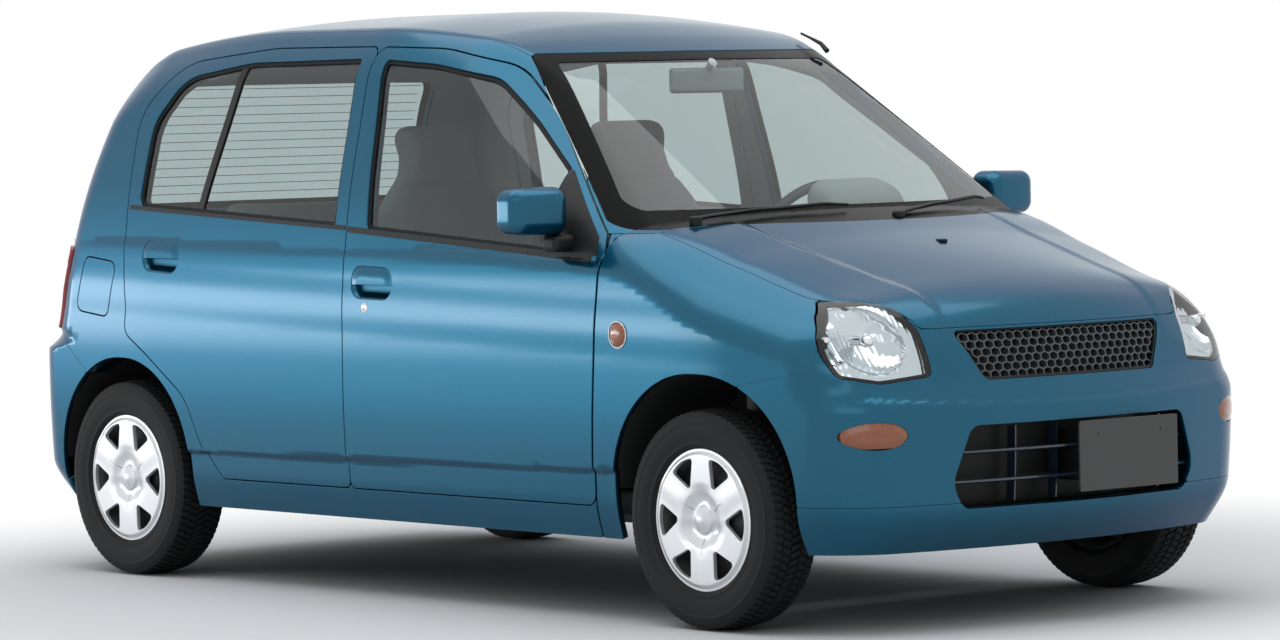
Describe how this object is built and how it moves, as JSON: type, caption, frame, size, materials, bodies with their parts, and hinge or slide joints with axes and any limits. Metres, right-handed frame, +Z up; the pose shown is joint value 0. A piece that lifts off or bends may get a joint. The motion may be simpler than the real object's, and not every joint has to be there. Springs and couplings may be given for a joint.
{
  "type": "kei-class five-door hatchback car",
  "caption": "Small five-door hatchback with opening doors, hood and tailgate, steered front wheels and free-rolling wheels.",
  "frame": {"origin": "on the ground under the middle of the car", "axes": "+X forward, +Y to the left, +Z up"},
  "size_m": [3.395, 1.759, 1.4859],
  "materials": {
    "paint": "metallic blue, clear coat",
    "glass": "clear",
    "lens": "clear lens",
    "amber": "amber lens",
    "red": "red lens",
    "black": "satin black",
    "trim": "grained grey",
    "seat": "woven grey",
    "steel": "black paint",
    "iron": "as cast",
    "silver": "silver paint",
    "tyre": "black",
    "grille": "grey",
    "plate": "blank dark plate"
  },
  "bodies": {
    "body": {"body_side_left": "paint", "body_side_right": "paint", "cowl": "black", "dashboard": "trim", "engine_block": "iron", "exhaust": "steel", "firewall": "steel", "floor_pan": "steel", "front_bumper": "paint", "front_fenders": "paint", "front_plate": "plate", "front_seats": "seat", "front_subframe": "steel", "fuel_tank": "steel", "grille": "grille", "headlamps": "lens", "indicator_lamps": "amber", "interior_mirror": "trim", "lower_grille": "black", "rear_axle": "steel", "rear_bench": "seat", "rear_bumper": "paint", "roof_panel": "paint", "tail_lamps": "red", "windshield": "glass", "wipers": "black"},
    "hood": {"hood": "paint"},
    "tailgate": {"tailgate": "paint", "tailgate_glass": "glass", "rear_plate": "plate"},
    "front_door_right": {"front_door_right": "paint", "front_door_glass_right": "glass", "door_mirror_right": "paint"},
    "rear_door_right": {"rear_door_right": "paint", "rear_door_glass_right": "glass"},
    "knuckle_right": {"knuckle_right": "iron"},
    "wheel_front_right": {"wheel_front_right": "silver", "tyre_front_right": "tyre"},
    "wheel_rear_right": {"wheel_rear_right": "silver", "tyre_rear_right": "tyre"},
    "front_door_left": {"front_door_left": "paint", "front_door_glass_left": "glass", "door_mirror_left": "paint"},
    "rear_door_left": {"rear_door_left": "paint", "rear_door_glass_left": "glass"},
    "knuckle_left": {"knuckle_left": "iron"},
    "wheel_front_left": {"wheel_front_left": "silver", "tyre_front_left": "tyre"},
    "wheel_rear_left": {"wheel_rear_left": "silver", "tyre_rear_left": "tyre"},
    "fuel_lid": {"fuel_lid": "paint"},
    "steering_wheel": {"steering_wheel": "trim"}
  },
  "joints": [
    {"name": "hood_hinge", "type": "hinge", "parent": "body", "child": "hood", "pos_m": [0.864, 0, 0.934], "axis": [0, -1, 0], "range_deg": [0, 50]},
    {"name": "tailgate_hinge", "type": "hinge", "parent": "body", "child": "tailgate", "pos_m": [-1.258, 0, 1.43], "axis": [0, 1, 0], "range_deg": [0, 80]},
    {"name": "front_door_right_hinge", "type": "hinge", "parent": "body", "child": "front_door_right", "pos_m": [0.64, -0.715, 0.6], "axis": [0, 0, 1], "range_deg": [0, 68]},
    {"name": "rear_door_right_hinge", "type": "hinge", "parent": "body", "child": "rear_door_right", "pos_m": [-0.348, -0.715, 0.6], "axis": [0, 0, 1], "range_deg": [0, 68]},
    {"name": "steer_right", "type": "hinge", "parent": "body", "child": "knuckle_right", "pos_m": [1.1, -0.6, 0.262], "axis": [0, 0, 1], "range_deg": [-35, 35]},
    {"name": "wheel_front_right_spin", "type": "hinge", "parent": "knuckle_right", "child": "wheel_front_right", "pos_m": [1.1, -0.652, 0.262], "axis": [0, 1, 0], "continuous": true},
    {"name": "wheel_rear_right_spin", "type": "hinge", "parent": "body", "child": "wheel_rear_right", "pos_m": [-1.24, -0.652, 0.262], "axis": [0, 1, 0], "continuous": true},
    {"name": "front_door_left_hinge", "type": "hinge", "parent": "body", "child": "front_door_left", "pos_m": [0.64, 0.715, 0.6], "axis": [0, 0, -1], "range_deg": [0, 68]},
    {"name": "rear_door_left_hinge", "type": "hinge", "parent": "body", "child": "rear_door_left", "pos_m": [-0.348, 0.715, 0.6], "axis": [0, 0, -1], "range_deg": [0, 68]},
    {"name": "steer_left", "type": "hinge", "parent": "body", "child": "knuckle_left", "pos_m": [1.1, 0.6, 0.262], "axis": [0, 0, 1], "range_deg": [-35, 35]},
    {"name": "wheel_front_left_spin", "type": "hinge", "parent": "knuckle_left", "child": "wheel_front_left", "pos_m": [1.1, 0.652, 0.262], "axis": [0, 1, 0], "continuous": true},
    {"name": "wheel_rear_left_spin", "type": "hinge", "parent": "body", "child": "wheel_rear_left", "pos_m": [-1.24, 0.652, 0.262], "axis": [0, 1, 0], "continuous": true},
    {"name": "fuel_lid_hinge", "type": "hinge", "parent": "body", "child": "fuel_lid", "pos_m": [-1.281, -0.7335, 0.768], "axis": [0.2548, 0.0523, 0.9656], "range_deg": [0, 90]},
    {"name": "steering_wheel_turn", "type": "hinge", "parent": "body", "child": "steering_wheel", "pos_m": [0.33, 0.33, 0.86], "axis": [-0.891, 0, 0.454], "range_deg": [-540, 540]}
  ],
  "couplings": [
    {"joint": "steer_left", "follows": "steer_right", "ratio": 1},
    {"joint": "steering_wheel_turn", "follows": "steer_right", "ratio": 15.4}
  ]
}
